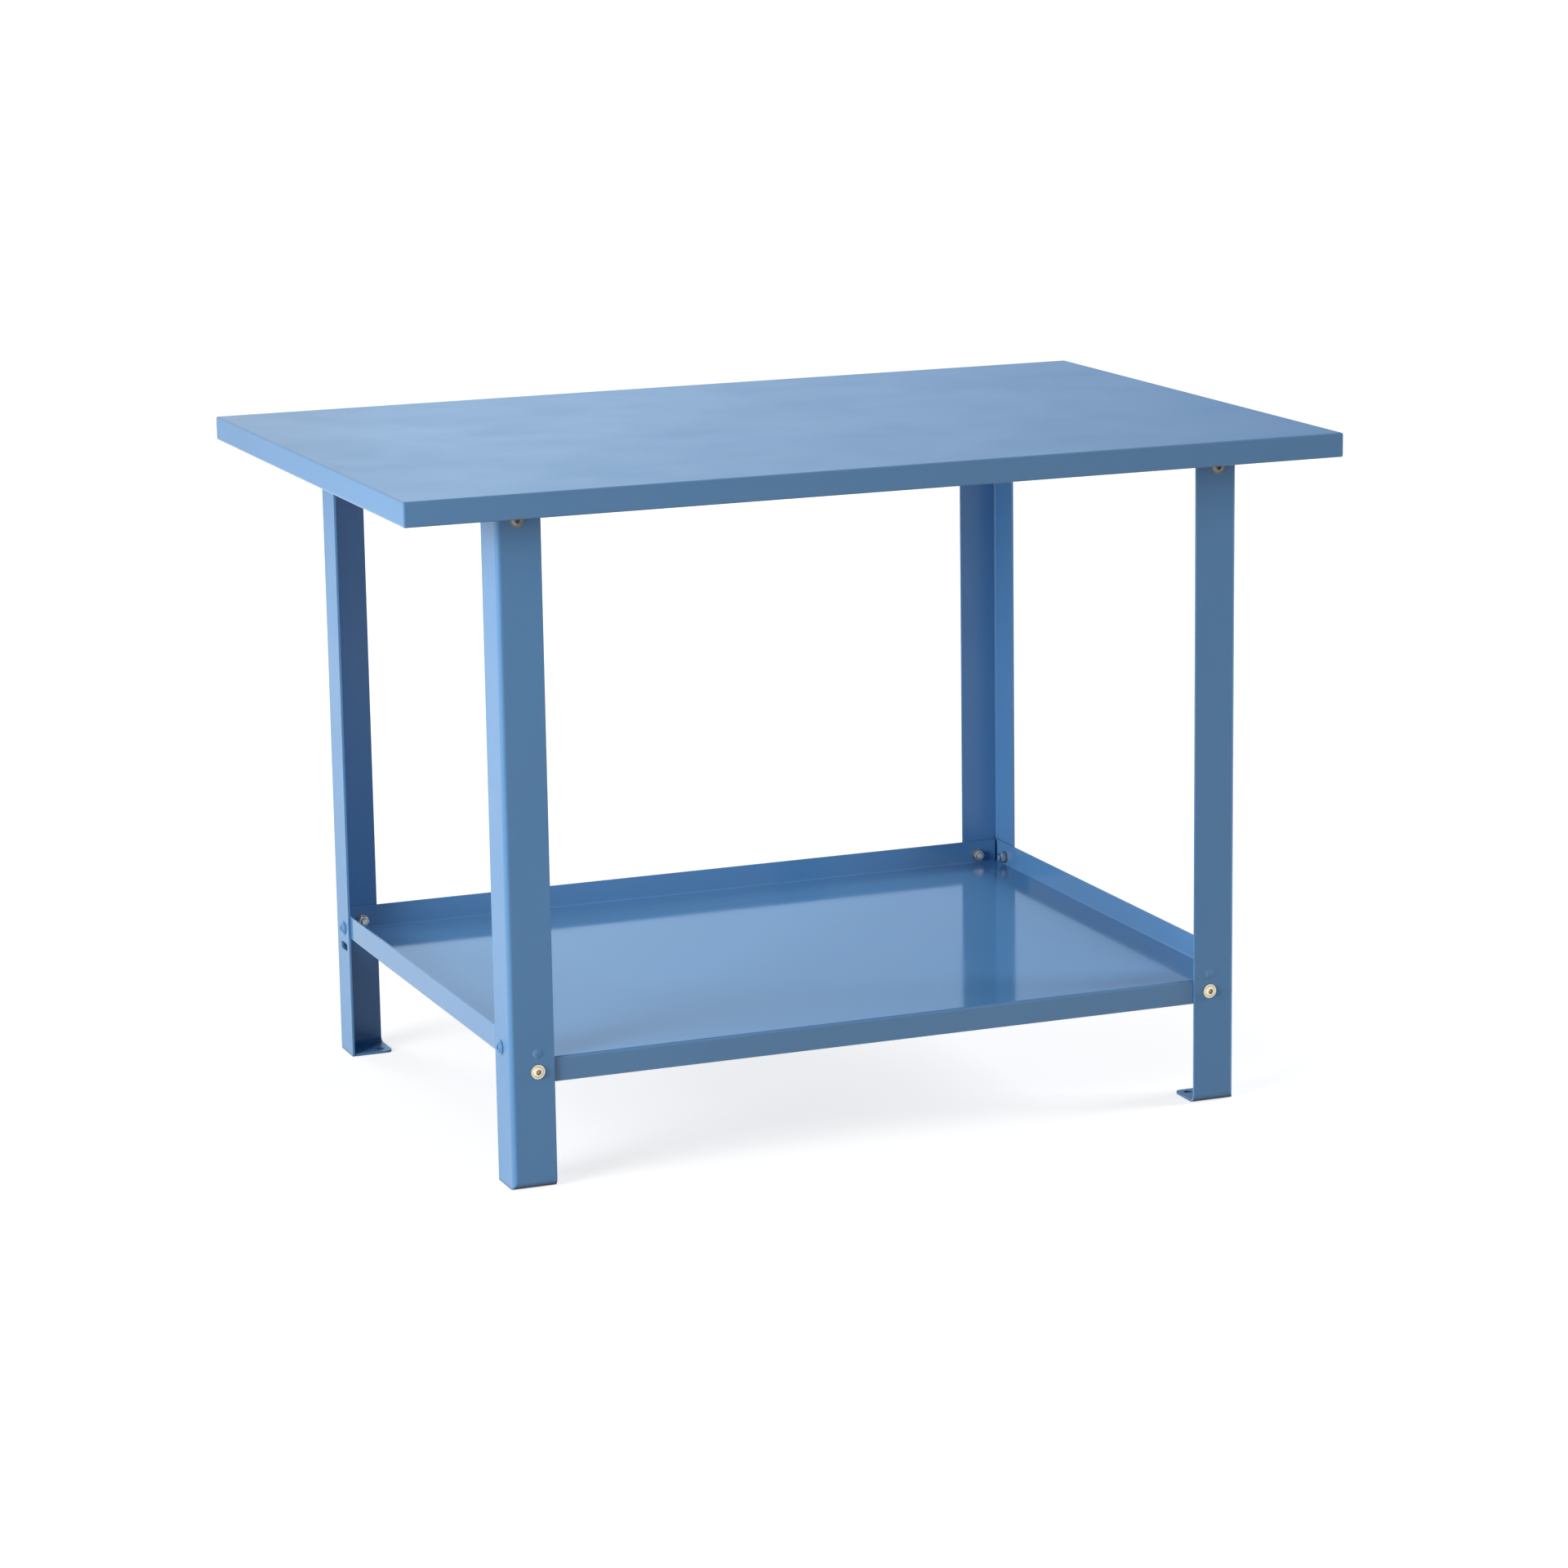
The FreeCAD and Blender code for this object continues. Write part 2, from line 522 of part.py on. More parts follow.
def make_shelf():
    """A tray between the legs: sides and rear folded up, front folded down."""
    body = new_body("shelf")
    notch = "(leg_bend_radius - leg_sheet + shelf_corner_clearance)"
    half_x, half_y = LEG_INSIDE_X, LEG_INSIDE_Y
    end_x, end_y = f"({half_x} - {notch})", f"({half_y} - {notch})"
    floor = new_sketch(body, "XY_Plane", SHELF_BOTTOM)
    outline(floor, [
        (f"-{end_x}", f"-{half_y}"), (end_x, f"-{half_y}"), (end_x, f"-{end_y}"),
        (half_x, f"-{end_y}"), (half_x, end_y), (end_x, end_y),
        (end_x, half_y), (f"-{end_x}", half_y), (f"-{end_x}", end_y),
        (f"-{half_x}", end_y), (f"-{half_x}", f"-{end_y}"), (f"-{end_x}", f"-{end_y}"),
    ])
    pad(body, floor, "shelf_sheet")

    upstands = new_sketch(body, "XY_Plane", SHELF_BOTTOM)
    inside_x, inside_y = f"({half_x} - shelf_sheet)", f"({half_y} - shelf_sheet)"
    rectangle(upstands, f"-{half_x}", f"-{inside_x}", f"-{end_y}", end_y)
    rectangle(upstands, inside_x, half_x, f"-{end_y}", end_y)
    rectangle(upstands, f"-{end_x}", end_x, inside_y, half_y)
    pad(body, upstands, "shelf_sheet + shelf_upstand")

    lip = new_sketch(body, "XY_Plane", "shelf_height")
    rectangle(lip, f"-{end_x}", end_x, f"-{half_y}", f"-{inside_y}")
    pad(body, lip, "shelf_lip", reverse=True)

    x, y, low, high = (number(text) for text in (half_x, half_y, SHELF_BOTTOM, "shelf_height"))
    fillet(body, "shelf_bend_radius", dict(x=-x, z=low), dict(x=x, z=low),
           dict(y=y, z=low), dict(y=-y, z=high))
    x_in, y_in = number(inside_x), number(inside_y)
    fillet(body, "shelf_bend_radius - shelf_sheet", dict(x=-x_in, z=high),
           dict(x=x_in, z=high), dict(y=y_in, z=high), dict(y=-y_in, z=low))

    ends = new_sketch(body, "XZ_Plane")
    for x_place in (f"-{SHELF_SCREW_X}", SHELF_SCREW_X):
        circle(ends, x_place, LIP_SCREW_Z, "screw_hole_diameter")
        circle(ends, x_place, UPSTAND_SCREW_Z, "screw_hole_diameter")
    pocket(body, ends, f"2 * {half_y}", both_ways=True)

    sides = new_sketch(body, "YZ_Plane")
    for y_place in (f"-{SIDE_SCREW_Y}", SIDE_SCREW_Y):
        circle(sides, y_place, UPSTAND_SCREW_Z, "screw_hole_diameter")
    pocket(body, sides, f"2 * {half_x}", both_ways=True)
    return body


# ---------------------------------------------------------------- screws, washers, nuts

TO_FRONT = (FreeCAD.Vector(1, 0, 0), 90)
TO_REAR = (FreeCAD.Vector(1, 0, 0), -90)
TO_LEFT = (FreeCAD.Vector(0, 1, 0), -90)


def make_screw(label, **where):
    """A flanged button-head socket screw: the head stands on z=0, the thread runs down -Z."""
    body = new_body(label, **where)
    radius, flange = "screw_diameter / 2", "flange_diameter / 2"
    mouth_floor = "(head_height - mouth_depth)"
    profile = new_sketch(body, "XZ_Plane")
    outline(profile, [
        ("0", "-screw_length"), (f"({radius} - screw_tip_chamfer)", "-screw_length"),
        (radius, "(screw_tip_chamfer - screw_length)"), (radius, "0"),
        (flange, "0"), (flange, "flange_height"), ("dome_diameter / 2", "flange_height"),
        ("head_flat_diameter / 2", "head_height"), ("mouth_diameter / 2", "head_height"),
        ("mouth_foot_diameter / 2", mouth_floor), ("0", mouth_floor),
    ], arcs={6: (1, "head_dome_radius")})
    turning = body.newObject("PartDesign::Revolution", f"{body.Name}_turning")
    turning.Profile = profile
    turning.ReferenceAxis = (profile, ["V_Axis"])
    turning.Angle = 360
    finish_feature(body, turning)
    socket = new_sketch(body, "XY_Plane", "head_height")
    hexagon(socket, "socket_across_flats")
    pocket(body, socket, "socket_depth")
    return body


def make_washer(label, **where):
    body = new_body(label, **where)
    ring = new_sketch(body, "XY_Plane")
    circle(ring, "0", "0", "washer_diameter")
    circle(ring, "0", "0", "washer_bore")
    pad(body, ring, "washer_thickness")
    return body


def make_nut(label, **where):
    """A hexagon nut on z=0, its corners chamfered at both faces."""
    body = new_body(label, **where)
    section = new_sketch(body, "XY_Plane")
    hexagon(section, "nut_across_flats")
    circle(section, "0", "0", "screw_diameter + thread_clearance")
    pad(body, section, "nut_height")
    inner = "nut_chamfer_diameter / 2"
    outer = "(nut_across_flats / sqrt(3) + nut_chamfer_reach)"
    fall = f"({outer} - {inner}) * tan(nut_chamfer_angle)"
    corners = new_sketch(body, "XZ_Plane")
    outline(corners, [(inner, "0"), (outer, "0"), (outer, fall)])
    outline(corners, [(inner, "nut_height"), (outer, f"nut_height - {fall}"),
                      (outer, "nut_height")])
    volume = body.Tip.Shape.Volume
    chamfer = body.newObject("PartDesign::Groove", f"{body.Name}_chamfer")
    chamfer.Profile = corners
    chamfer.ReferenceAxis = (corners, ["V_Axis"])
    chamfer.Angle = 360
    finish_feature(body, chamfer)
    if chamfer.Shape.Volume >= volume:
        raise RuntimeError(f"{label}: the chamfer cuts nothing")
    return body


def behind(seat, outward, distance):
    """A point behind a screw head's seat, as the three expressions that place() takes."""
    texts = [f"{text} - ({sign}) * ({distance})" if sign else text
             for text, sign in zip(seat, outward)]
    return dict(zip("xyz", texts))


def make_joint(name, places, grip, turn, outward, normals):
    """The screws, washers and nuts of one bolted joint.  places lists the (x, y, z) of
    each screw head's seat; grip is what the screw clamps; outward is the unit step,
    per axis, from the joint towards the head."""
    screws, washers, nuts = [], [], []
    for index, seat in enumerate(places):
        at_seat = behind(seat, outward, "0")
        screws.append(make_screw(f"{name}_screw_{index}", turn=turn, **at_seat))
        at_washer = behind(seat, outward, f"{grip} + washer_thickness")
        washers.append(make_washer(f"{name}_washer_{index}", turn=turn, **at_washer))
        at_nut = behind(seat, outward, f"{grip} + washer_thickness + nut_height")
        nuts.append(make_nut(f"{name}_nut_{index}", turn=turn, **at_nut))
    return [group_of(f"{name}_screws", screws, normals),
            group_of(f"{name}_washers", washers, normals),
            group_of(f"{name}_nuts", nuts, normals)]


def make_studs():
    """Studs welded under the worktop, through each rail's top flange, with their nuts."""
    studs, washers, nuts = [], [], []
    for index, y in enumerate(("-stud_pitch", "0", "stud_pitch")):
        stud = doc.addObject("Part::Cylinder", f"worktop_stud_{index}")
        length = "(rail_sheet + washer_thickness + nut_height + stud_overrun)"
        bind(stud, "Radius", "screw_diameter / 2")
        bind(stud, "Height", length)
        place(stud, f"-{STUD_X}", y, f"{UNDERSIDE} - {length}")
        studs.append(stud)
        washer_z = f"{UNDERSIDE} - rail_sheet - washer_thickness"
        washers.append(make_washer(f"worktop_washer_{index}", x=f"-{STUD_X}", y=y, z=washer_z))
        nuts.append(make_nut(f"worktop_nut_{index}", x=f"-{STUD_X}", y=y,
                             z=f"{washer_z} - nut_height"))
    return [group_of("worktop_studs", studs, [ACROSS]),
            group_of("worktop_stud_washers", washers, [ACROSS]),
            group_of("worktop_stud_nuts", nuts, [ACROSS])]


# ---------------------------------------------------------------- the table

nodes = [make_worktop()]

stiffener_half = f"({LEG_INSIDE_X} - rail_flange_width - stiffener_end_gap)"
for place_name, y in (("front", "-stiffener_pitch"), ("middle", "0"), ("rear", "stiffener_pitch")):
    nodes.append(make_stiffener(f"worktop_stiffener_{place_name}", UNDERSIDE, stiffener_half, y))

front_leg = make_leg("leg_front_left", is_rear=False)
rear_leg = make_leg("leg_rear_left", is_rear=True)
nodes += [front_leg, mirrored(front_leg, "leg_front_right", ACROSS)]
nodes += [rear_leg, mirrored(rear_leg, "leg_rear_right", ACROSS)]

left_rail = make_cross_rail()
nodes += [left_rail, mirrored(left_rail, "cross_rail_right", ACROSS)]

nodes.append(make_shelf())
shelf_stiffener_half = f"({LEG_INSIDE_X} - shelf_stiffener_end_gap)"
nodes.append(make_stiffener("shelf_stiffener", SHELF_BOTTOM, shelf_stiffener_half))

shelf_grip = "leg_sheet + shelf_sheet"
rail_grip = "leg_sheet + rail_sheet"
rail_ends = [(f"-{RAIL_SCREW_X}", f"-{LEG_Y}", z) for z in (RAIL_LOW_SCREW_Z, RAIL_HIGH_SCREW_Z)]
nodes += make_joint("rail_end", rail_ends, rail_grip, TO_FRONT, (0, -1, 0),
                    [ACROSS, FORE_AND_AFT])
nodes += make_joint("rail_side", [(f"-{LEG_X}", f"-{SIDE_SCREW_Y}", RAIL_SIDE_SCREW_Z)],
                    rail_grip, TO_LEFT, (-1, 0, 0), [ACROSS, FORE_AND_AFT])
nodes += make_joint("shelf_front", [(f"-{SHELF_SCREW_X}", f"-{LEG_Y}", LIP_SCREW_Z)],
                    shelf_grip, TO_FRONT, (0, -1, 0), [ACROSS])
nodes += make_joint("shelf_rear", [(f"-{SHELF_SCREW_X}", LEG_Y, UPSTAND_SCREW_Z)],
                    shelf_grip, TO_REAR, (0, 1, 0), [ACROSS])
nodes += make_joint("shelf_side", [(f"-{LEG_X}", f"-{SIDE_SCREW_Y}", UPSTAND_SCREW_Z)],
                    shelf_grip, TO_LEFT, (-1, 0, 0), [ACROSS, FORE_AND_AFT])
nodes += make_studs()

doc.recompute()
for thing in doc.Objects:
    if "Invalid" in thing.State or "Error" in thing.State:
        raise RuntimeError(f"{thing.Label}: {thing.State}")
for node in nodes:
    if node.Shape.isNull() or not node.Shape.isValid():
        raise RuntimeError(f"{node.Label} has no valid shape")

os.makedirs("parts", exist_ok=True)
for node in nodes:
    solids = node.Shape.Solids
    shape = solids[0] if len(solids) == 1 else Part.makeCompound(solids)
    shape.exportStep(f"parts/{node.Label}.step")
    print(f"{node.Label}: {len(solids)} solid(s), {shape.Volume / 1000:.2f} cm3")
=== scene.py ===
# %% [markdown]
# # An assembly table in painted sheet steel
#
# The table is a folded worktop on four folded angle legs, with a tray shelf low between them.
# Every part except the fasteners wears one light steel-blue gloss paint.
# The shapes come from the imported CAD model, in metres, with +Z up, and they stay where they are.
# This lesson gives that model its finishes, and a small studio to look at it in.

# %% Load the table
import math

import bpy
from mathutils import Matrix, Vector


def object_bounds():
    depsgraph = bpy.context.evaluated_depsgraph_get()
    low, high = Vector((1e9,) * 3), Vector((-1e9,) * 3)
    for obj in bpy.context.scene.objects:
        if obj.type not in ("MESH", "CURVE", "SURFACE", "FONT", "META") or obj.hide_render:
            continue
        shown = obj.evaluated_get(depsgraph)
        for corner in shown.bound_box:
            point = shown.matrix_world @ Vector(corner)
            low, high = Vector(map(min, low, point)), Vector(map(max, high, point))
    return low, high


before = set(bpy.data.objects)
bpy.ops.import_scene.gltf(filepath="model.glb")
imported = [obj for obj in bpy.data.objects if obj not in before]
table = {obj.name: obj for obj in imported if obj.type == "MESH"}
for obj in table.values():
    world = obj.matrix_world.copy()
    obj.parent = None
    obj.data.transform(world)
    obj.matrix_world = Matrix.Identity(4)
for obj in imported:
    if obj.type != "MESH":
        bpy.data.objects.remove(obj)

print(len(table), "parts of the table loaded")

# %% [markdown]
# ## How large the table is
#
# The finishes must not make the table larger or smaller, so its box is measured first.

# %% Measure the table as it came
LOWEST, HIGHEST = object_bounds()
table_size = HIGHEST - LOWEST
print("table is", [round(side, 3) for side in table_size], "m")

# %% [markdown]
# ## The camera
#
# A long lens from about six metres keeps the legs nearly parallel, as in a catalogue picture.
# The camera could be placed by three coordinates, but an angle round the table, an angle above
# the floor and a distance are easier to read and to change, so those are the driving values.
# It is tipped by under one degree, which is what the lean of the uprights asks for.

# %% Place the camera
VIEW_ROUND = math.radians(-21.68)
VIEW_ABOVE = math.radians(12.254)
VIEW_DISTANCE = 6.0487
VIEW_TILT = math.radians(-0.859)
LOOKED_AT = Vector((0.01706, 0.0, 0.37800))
LENS_MM = 109.11
SENSOR_MM = 36.0


def towards_viewer(round_angle, above_angle):
    """The unit vector from the table to someone standing at those two angles."""
    return Vector((
        math.sin(round_angle) * math.cos(above_angle),
        -math.cos(round_angle) * math.cos(above_angle),
        math.sin(above_angle),
    ))


def make_camera():
    lens = bpy.data.cameras.new("catalogue_camera")
    lens.lens = LENS_MM
    lens.sensor_width = SENSOR_MM
    camera = bpy.data.objects.new("catalogue_camera", lens)
    bpy.context.scene.collection.objects.link(camera)
    backwards = towards_viewer(VIEW_ROUND, VIEW_ABOVE)
    aim = (-backwards).to_track_quat("-Z", "Y").to_matrix().to_4x4()
    place = Matrix.Translation(LOOKED_AT + backwards * VIEW_DISTANCE)
    camera.matrix_world = place @ aim @ Matrix.Rotation(VIEW_TILT, 4, "Z")
    bpy.context.scene.camera = camera
    return camera


camera = make_camera()
print("camera stands at", [round(value, 3) for value in camera.matrix_world.translation])

# %% [markdown]
# ## Small helpers for shader nodes
#
# A finish is a chain of shader nodes. Making each node by hand takes four or five lines,
# so one helper makes a node, sets its options and joins its inputs.
# An input may be a number, a colour or the output of another node.

# %% A helper that makes and joins one node
def add_node(tree, kind, inputs=None, **options):
    """A new node of that kind. inputs maps a socket's name or number to a value or an output."""
    made = tree.nodes.new(kind)
    for option, value in options.items():
        setattr(made, option, value)
    for socket, value in (inputs or {}).items():
        if isinstance(value, bpy.types.NodeSocket):
            tree.links.new(value, made.inputs[socket])
        else:
            made.inputs[socket].default_value = value
    return made


def empty_tree(owner):
    """The node tree of a material or world, with nothing in it."""
    owner.use_nodes = True
    owner.node_tree.nodes.clear()
    return owner.node_tree


# %% A helper for arithmetic
def calculate(tree, operation, first, second):
    """One Math node, and its result."""
    made = add_node(tree, "ShaderNodeMath", {0: first, 1: second}, operation=operation)
    return made.outputs[0]


def stretch(tree, value, low_in, high_in, low_out, high_out):
    """Moves a value from one range to another, and clips it there."""
    made = add_node(tree, "ShaderNodeMapRange", {
        "Value": value, "From Min": low_in, "From Max": high_in,
        "To Min": low_out, "To Max": high_out,
    })
    return made.outputs["Result"]


# %% A helper that mixes two colours
def mix_colours(tree, share, first, second, blend="MIX"):
    """The first colour, with a share of the second."""
    made = add_node(tree, "ShaderNodeMix", data_type="RGBA", blend_type=blend)
    for socket, value in (("Factor", share), ("A", first), ("B", second)):
        target = next(i for i in made.inputs if i.name == socket and i.enabled)
        if isinstance(value, bpy.types.NodeSocket):
            tree.links.new(value, target)
        else:
            target.default_value = value
    return next(o for o in made.outputs if o.enabled)


# %% [markdown]
# ## The studio
#
# The table stands in front of plain white. White could come from stronger lamps, but they would
# bleach the paint. Instead the world is white only for the rays that see it, straight or in a
# reflection, and gives a weaker, even light to everything else.

# %% White surroundings
WHITE = (1.0, 1.0, 1.0, 1.0)
SURROUNDINGS_LIGHT = 0.08


def seen_directly(tree):
    """1 for a ray that looks at the surroundings, straight, in a gloss or through glass."""
    path = add_node(tree, "ShaderNodeLightPath")
    straight_or_gloss = calculate(tree, "MAXIMUM", path.outputs["Is Camera Ray"],
                                  path.outputs["Is Glossy Ray"])
    return calculate(tree, "MAXIMUM", straight_or_gloss, path.outputs["Is Transmission Ray"])


def make_surroundings():
    world = bpy.data.worlds.new("white_studio")
    bpy.context.scene.world = world
    tree = empty_tree(world)
    strength = stretch(tree, seen_directly(tree), 0.0, 1.0, SURROUNDINGS_LIGHT, 1.0)
    light = add_node(tree, "ShaderNodeBackground", {"Color": WHITE, "Strength": strength})
    add_node(tree, "ShaderNodeOutputWorld", {"Surface": light.outputs[0]})


bpy.context.scene.view_settings.view_transform = "Standard"
make_surroundings()
print("surroundings give", SURROUNDINGS_LIGHT, "of full light")

# %% [markdown]
# ## The floor
#
# The floor is a matt white sheet that keeps the table's soft shadow.
# A little glow, again only for the rays that look at it, lifts the open floor to white,
# while the shadow under the table stays a shade darker. The lamps' light falls off away from
# the table, so the glow grows with distance and makes up for it.

# %% Floor under the table
FLOOR_SIDE = 60.0
FLOOR_GREY = (0.45, 0.45, 0.45, 1.0)
FLOOR_GLOW_NEAR, FLOOR_GLOW_FAR = 0.74, 1.00
GLOW_GROWS_FROM, GLOW_GROWS_TO = 1.0, 4.0


def flat_mesh(name, corners):
    """A mesh with one flat face."""
    mesh = bpy.data.meshes.new(name)
    mesh.from_pydata(corners, [], [tuple(range(len(corners)))])
    made = bpy.data.objects.new(name, mesh)
    bpy.context.scene.collection.objects.link(made)
    return made


def matt_floor_finish():
    finish = bpy.data.materials.new("matt_white_floor")
    tree = empty_tree(finish)
    matt = add_node(tree, "ShaderNodeBsdfDiffuse", {"Color": FLOOR_GREY})
    place = add_node(tree, "ShaderNodeTexCoord").outputs["Object"]
    from_table = add_node(tree, "ShaderNodeVectorMath", {0: place}, operation="LENGTH")
    glow_level = stretch(tree, from_table.outputs["Value"], GLOW_GROWS_FROM, GLOW_GROWS_TO,
                         FLOOR_GLOW_NEAR, FLOOR_GLOW_FAR)
    glow = add_node(tree, "ShaderNodeEmission", {
        "Color": WHITE,
        "Strength": calculate(tree, "MULTIPLY", seen_directly(tree), glow_level),
    })
    both = add_node(tree, "ShaderNodeAddShader", {0: matt.outputs[0], 1: glow.outputs[0]})
    add_node(tree, "ShaderNodeOutputMaterial", {"Surface": both.outputs[0]})
    return finish


reach = FLOOR_SIDE / 2
floor = flat_mesh("studio_floor", [
    (-reach, -reach, 0.0), (reach, -reach, 0.0), (reach, reach, 0.0), (-reach, reach, 0.0),
])
floor.data.materials.append(matt_floor_finish())
print("floor of", FLOOR_SIDE, "m laid at height 0")

# %% [markdown]
# ## The lamps
#
# Soft boxes are square area lamps. Two stand to the left, so that faces which look left are
# the brightest: a high one for the worktop, and a low one that reaches in under the worktop.
# One to the right keeps the far end of the worktop from falling dark, and a weak one behind
# the left corner lights the rear of the shelf and draws short shadows beside the screw heads.
# The larger a lamp is, the softer the edge of its shadow, so all of them are large.
# A large lamp also leaves a large white glare on gloss paint seen from the far side, so the
# lamps light the table but don't show in reflections.

# %% Soft boxes
TABLE_MIDDLE = Vector((0.0, 0.0, 0.45))
SOFT_BOX_SIDE = 2.2
SOFT_BOXES = [
    ("high_left_soft_box", (-4.2, -1.9, 2.4), 105.0),
    ("low_left_soft_box", (-4.4, -1.2, 1.0), 143.0),
    ("right_soft_box", (4.6, -0.6, 2.0), 210.0),
    ("rear_left_soft_box", (-1.6, 4.2, 2.2), 65.0),
]


def soft_box(name, place, watts):
    """A square area lamp that faces the table's middle."""
    lamp = bpy.data.lights.new(name, "AREA")
    lamp.shape = "SQUARE"
    lamp.size = SOFT_BOX_SIDE
    lamp.energy = watts
    made = bpy.data.objects.new(name, lamp)
    bpy.context.scene.collection.objects.link(made)
    made.visible_glossy = False
    made.location = place
    made.rotation_euler = (TABLE_MIDDLE - Vector(place)).to_track_quat("-Z", "Y").to_euler()


for name, place, watts in SOFT_BOXES:
    soft_box(name, place, watts)
print(len(SOFT_BOXES), "soft boxes lit")

# %% [markdown]
# ## The graded board
#
# Gloss paint seen at a low angle is half mirror: the worktop shows what stands behind it.
# A board behind the table, light on the left and a darker blue on the right, gives the worktop
# and the shelf their slow change of tone. Only reflections see it, so it throws no shadow.

# %% Graded board behind the table
BOARD_FROM_TABLE = 3.5
BOARD_LEFT, BOARD_RIGHT = -6.0, 9.0
BOARD_TOP = 6.0
BOARD_BRIGHTNESS = 1.4
BOARD_TONES = [
    (-0.6, (0.540, 0.540, 0.540, 1.0)),
    (0.8, (0.550, 0.743, 0.990, 1.0)),
    (3.0, (0.236, 0.330, 0.495, 1.0)),
]


def colour_ramp(tree, factor, stops):
    """A colour for each value from 0 to 1, blended between the stops."""
    made = add_node(tree, "ShaderNodeValToRGB", {0: factor})
    elements = made.color_ramp.elements
    while len(elements) < len(stops):
        elements.new(1.0)
    for element, (position, colour) in zip(elements, stops):
        element.position = position
        element.color = colour
    return made.outputs["Color"]


def graded_board_finish():
    finish = bpy.data.materials.new("graded_board")
    tree = empty_tree(finish)
    place = add_node(tree, "ShaderNodeTexCoord").outputs["Object"]
    across = add_node(tree, "ShaderNodeSeparateXYZ", {0: place}).outputs["X"]
    first, last = BOARD_TONES[0][0], BOARD_TONES[-1][0]
    share = stretch(tree, across, first, last, 0.0, 1.0)
    stops = [((x - first) / (last - first), colour) for x, colour in BOARD_TONES]
    glow = add_node(tree, "ShaderNodeEmission",
                    {"Color": colour_ramp(tree, share, stops), "Strength": BOARD_BRIGHTNESS})
    add_node(tree, "ShaderNodeOutputMaterial", {"Surface": glow.outputs[0]})
    return finish


board_line = HIGHEST.y + BOARD_FROM_TABLE
board = flat_mesh("graded_board", [
    (BOARD_LEFT, board_line, 0.0), (BOARD_RIGHT, board_line, 0.0),
    (BOARD_RIGHT, board_line, BOARD_TOP), (BOARD_LEFT, board_line, BOARD_TOP),
])
board.data.materials.append(graded_board_finish())
board.visible_camera = False
board.visible_diffuse = False
board.visible_shadow = False
print("graded board stands", BOARD_FROM_TABLE, "m behind the worktop")

# %% [markdown]
# ## What the paint is made of
#
# The real paint is a sprayed gloss enamel on folded steel. Close up it shows four things:
# a slow drift of tone over a panel, a fine orange-peel skin, a gloss that is a little uneven,
# and a lighter line where the film runs thin over a sheet's edge.
# An image could hold all that, but noise nodes in metres keep the same scale on every panel.

# %% Where a point is, and a soft noise there
def table_place(tree):
    """The point's place in metres, which is the same for every part of the table."""
    return add_node(tree, "ShaderNodeTexCoord").outputs["Object"]


def soft_noise(tree, place, per_metre, detail=2.0, roughness=0.5):
    """A cloudy value near 0.5, with about that many clouds in a metre."""
    made = add_node(tree, "ShaderNodeTexNoise", {
        "Vector": place, "Scale": per_metre, "Detail": detail, "Roughness": roughness,
    })
    return made.outputs["Fac"]


# %% Spread a noise over a range
NOISE_LOW, NOISE_HIGH = 0.3, 0.7


def spread(tree, noise, low, high):
    """A soft noise, which seldom leaves 0.3 to 0.7, spread over the range from low to high."""
    return stretch(tree, noise, NOISE_LOW, NOISE_HIGH, low, high)


def near_one(tree, noise, width):
    """A soft noise spread evenly about 1, to multiply a colour by."""
    return spread(tree, noise, 1.0 - width / 2, 1.0 + width / 2)


# %% Raise and sink a surface by a noise
def bumpy(tree, height, depth, normal):
    """The surface's direction after a skin of that height, 0 to 1, and that depth in metres."""
    made = add_node(tree, "ShaderNodeBump", {
        "Height": height, "Distance": depth, "Strength": 1.0, "Normal": normal,
    })
    return made.outputs[0]


# %% [markdown]
# ## Where an edge is
#
# The Bevel node looks a short way round a point and says how the surface turns there.
# Compared with the face's own direction it finds every sharp edge, on any part, without
# painting a mask by hand. The same node also rounds those edges, as paint does.

# %% Find the edges of the sheet
BEVEL_SAMPLES = 6
FLAT_LIKENESS, EDGE_LIKENESS = 0.98, 0.80


def rounded_edges(tree, radius):
    """The surface's direction with its sharp edges rounded off."""
    made = add_node(tree, "ShaderNodeBevel", {"Radius": radius}, samples=BEVEL_SAMPLES)
    return made.outputs["Normal"]


def edge_line(tree, rounded):
    """0 on a flat, rising to 1 on an edge."""
    flat = add_node(tree, "ShaderNodeNewGeometry").outputs["Normal"]
    alike = add_node(tree, "ShaderNodeVectorMath", {0: rounded, 1: flat},
                     operation="DOT_PRODUCT").outputs["Value"]
    return stretch(tree, alike, FLAT_LIKENESS, EDGE_LIKENESS, 0.0, 1.0)


# %% [markdown]
# ## Where shade is painted in
#
# Painted shade: tight places, under a bend, in a socket, beside a head, are darkened in the colour
# as shade would fall there.
# The Ambient Occlusion node says how much open sky a point sees within a short reach.
# Two levels of it say where the painted shade starts and where it is darkest.

# %% Find the tight places
CORNER_SAMPLES = 8


def painted_recess_shade(tree, reach, starts_at, full_at, darkest):
    """0 in the open, rising to the darkest value where surfaces close in within that reach: a mask
    for painted shade.
    """
    made = add_node(tree, "ShaderNodeAmbientOcclusion", {"Distance": reach},
                    samples=CORNER_SAMPLES)
    return stretch(tree, made.outputs["AO"], starts_at, full_at, 0.0, darkest)
